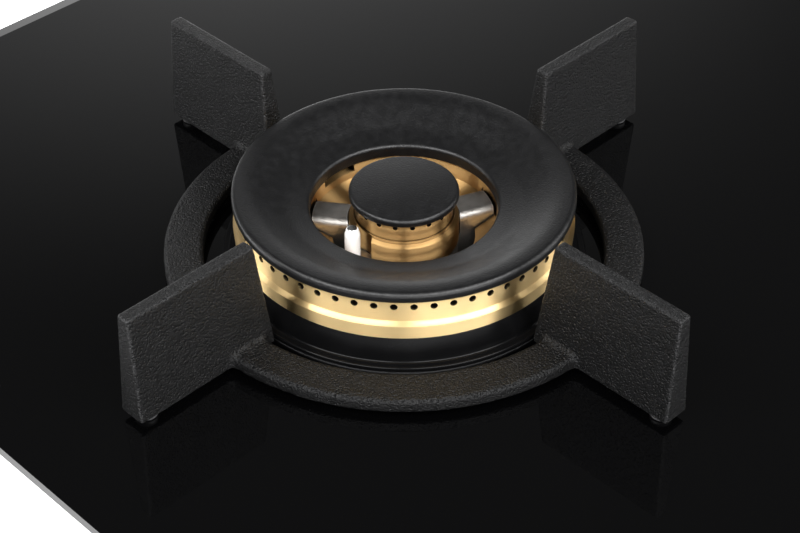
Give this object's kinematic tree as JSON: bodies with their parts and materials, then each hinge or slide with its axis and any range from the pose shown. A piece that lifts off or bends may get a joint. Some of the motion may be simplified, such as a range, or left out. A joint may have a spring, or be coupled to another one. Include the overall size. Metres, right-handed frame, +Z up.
{
  "type": "gas cooktop",
  "caption": "Built-in gas cooktop: black glass top, brass flame rings under black caps, cast iron pan supports, push-and-turn taps and a steel tray below.",
  "frame": {"origin": "under the middle of the glass top, on the level that the tray's underside stands on", "axes": "+X to the right, +Y to the back, +Z up; the taps are at the front, towards -Y"},
  "size_m": [0.8, 0.51, 0.1053],
  "materials": {
    "black_glass": "polished, opaque black",
    "foam": "matte closed-cell foam",
    "tray_steel": "zinc-coated sheet, satin",
    "plated_steel": "plated, satin",
    "stainless": "bright stainless",
    "brass": "polished, turned",
    "enamel": "satin black vitreous enamel",
    "cast_aluminium": "as cast",
    "iron": "rough matte black",
    "silicone": "soft matte",
    "ceramic": "white, glazed",
    "knob_black": "satin black",
    "module_grey": "fine grain",
    "gland_black": "moulded",
    "lead_red": "silicone sheath",
    "copper": "drawn copper"
  },
  "bodies": {
    "hob": {"glass_panel": "black_glass", "glass_seal": "foam", "bottom_tray": "tray_steel", "gas_rail": "tray_steel", "glass_brackets": "plated_steel", "tray_screws": "plated_steel", "worktop_clamps": "plated_steel", "clamp_screws": "plated_steel", "base_screws": "plated_steel", "tap_bonnets": "plated_steel", "thermocouple_left": "stainless", "thermocouple_right": "stainless", "electrodes": "stainless", "knob_bezel_left": "stainless", "knob_bezel_right": "stainless", "inlet_pipe": "stainless", "injectors": "brass", "valve_body_left": "brass", "valve_body_right": "brass", "inlet_nipple": "brass", "inlet_nut": "brass", "magnet_units": "brass", "burner_base_left": "enamel", "burner_base_right": "enamel", "mixer_body_left": "cast_aluminium", "mixer_body_right": "cast_aluminium", "inner_pipe_left": "cast_aluminium", "inner_pipe_right": "cast_aluminium", "outer_pipe_left": "cast_aluminium", "outer_pipe_right": "cast_aluminium", "base_gaskets": "silicone", "igniter_left": "ceramic", "igniter_right": "ceramic", "ignition_module": "module_grey", "microswitches": "module_grey", "mains_gland": "gland_black", "ignition_leads": "lead_red", "thermocouple_leads": "copper"},
    "support_left": {"pan_support_left": "iron", "support_feet_left": "silicone"},
    "flame_ring_left": {"outer_ring_left": "brass"},
    "ring_cover_left": {"ring_cap_left": "enamel"},
    "crown_left": {"inner_crown_left": "brass"},
    "crown_cover_left": {"inner_cap_left": "enamel"},
    "plug_left": {"valve_plug_left": "brass", "stem_spring_left": "stainless"},
    "control_left": {"knob_left": "knob_black", "valve_stem_left": "stainless"},
    "armature_left": {"safety_plunger_left": "stainless"},
    "support_right": {"pan_support_right": "iron", "support_feet_right": "silicone"},
    "flame_ring_right": {"outer_ring_right": "brass"},
    "ring_cover_right": {"ring_cap_right": "enamel"},
    "crown_right": {"inner_crown_right": "brass"},
    "crown_cover_right": {"inner_cap_right": "enamel"},
    "plug_right": {"valve_plug_right": "brass", "stem_spring_right": "stainless"},
    "control_right": {"knob_right": "knob_black", "valve_stem_right": "stainless"},
    "armature_right": {"safety_plunger_right": "stainless"}
  },
  "joints": [
    {"name": "support_lift_left", "type": "slide", "parent": "hob", "child": "support_left", "axis": [0, 0, 1], "range_m": [0, 0.08]},
    {"name": "ring_lift_left", "type": "slide", "parent": "hob", "child": "flame_ring_left", "axis": [0, 0, 1], "range_m": [0, 0.06]},
    {"name": "ring_cap_lift_left", "type": "slide", "parent": "flame_ring_left", "child": "ring_cover_left", "axis": [0, 0, 1], "range_m": [0, 0.04]},
    {"name": "crown_lift_left", "type": "slide", "parent": "hob", "child": "crown_left", "axis": [0, 0, 1], "range_m": [0, 0.05]},
    {"name": "inner_cap_lift_left", "type": "slide", "parent": "crown_left", "child": "crown_cover_left", "axis": [0, 0, 1], "range_m": [0, 0.03]},
    {"name": "knob_turn_left", "type": "hinge", "parent": "hob", "child": "plug_left", "pos_m": [-0.055, -0.195, 0.03], "axis": [0, 0, 1], "range_deg": [0, 210]},
    {"name": "knob_push_left", "type": "slide", "parent": "plug_left", "child": "control_left", "axis": [0, 0, -1], "range_m": [0, 0.003], "stiffness_N_per_m": 800, "springref_m": -0.004, "deforming": ["stem_spring_left"]},
    {"name": "armature_push_left", "type": "slide", "parent": "hob", "child": "armature_left", "axis": [0, 0, -1], "range_m": [0, 0.003]},
    {"name": "support_lift_right", "type": "slide", "parent": "hob", "child": "support_right", "axis": [0, 0, 1], "range_m": [0, 0.08]},
    {"name": "ring_lift_right", "type": "slide", "parent": "hob", "child": "flame_ring_right", "axis": [0, 0, 1], "range_m": [0, 0.06]},
    {"name": "ring_cap_lift_right", "type": "slide", "parent": "flame_ring_right", "child": "ring_cover_right", "axis": [0, 0, 1], "range_m": [0, 0.04]},
    {"name": "crown_lift_right", "type": "slide", "parent": "hob", "child": "crown_right", "axis": [0, 0, 1], "range_m": [0, 0.05]},
    {"name": "inner_cap_lift_right", "type": "slide", "parent": "crown_right", "child": "crown_cover_right", "axis": [0, 0, 1], "range_m": [0, 0.03]},
    {"name": "knob_turn_right", "type": "hinge", "parent": "hob", "child": "plug_right", "pos_m": [0.055, -0.195, 0.03], "axis": [0, 0, 1], "range_deg": [0, 210]},
    {"name": "knob_push_right", "type": "slide", "parent": "plug_right", "child": "control_right", "axis": [0, 0, -1], "range_m": [0, 0.003], "stiffness_N_per_m": 800, "springref_m": -0.004, "deforming": ["stem_spring_right"]},
    {"name": "armature_push_right", "type": "slide", "parent": "hob", "child": "armature_right", "axis": [0, 0, -1], "range_m": [0, 0.003]}
  ],
  "couplings": [
    {"joint": "armature_push_left", "follows": "knob_push_left", "ratio": 1},
    {"joint": "armature_push_right", "follows": "knob_push_right", "ratio": 1}
  ]
}
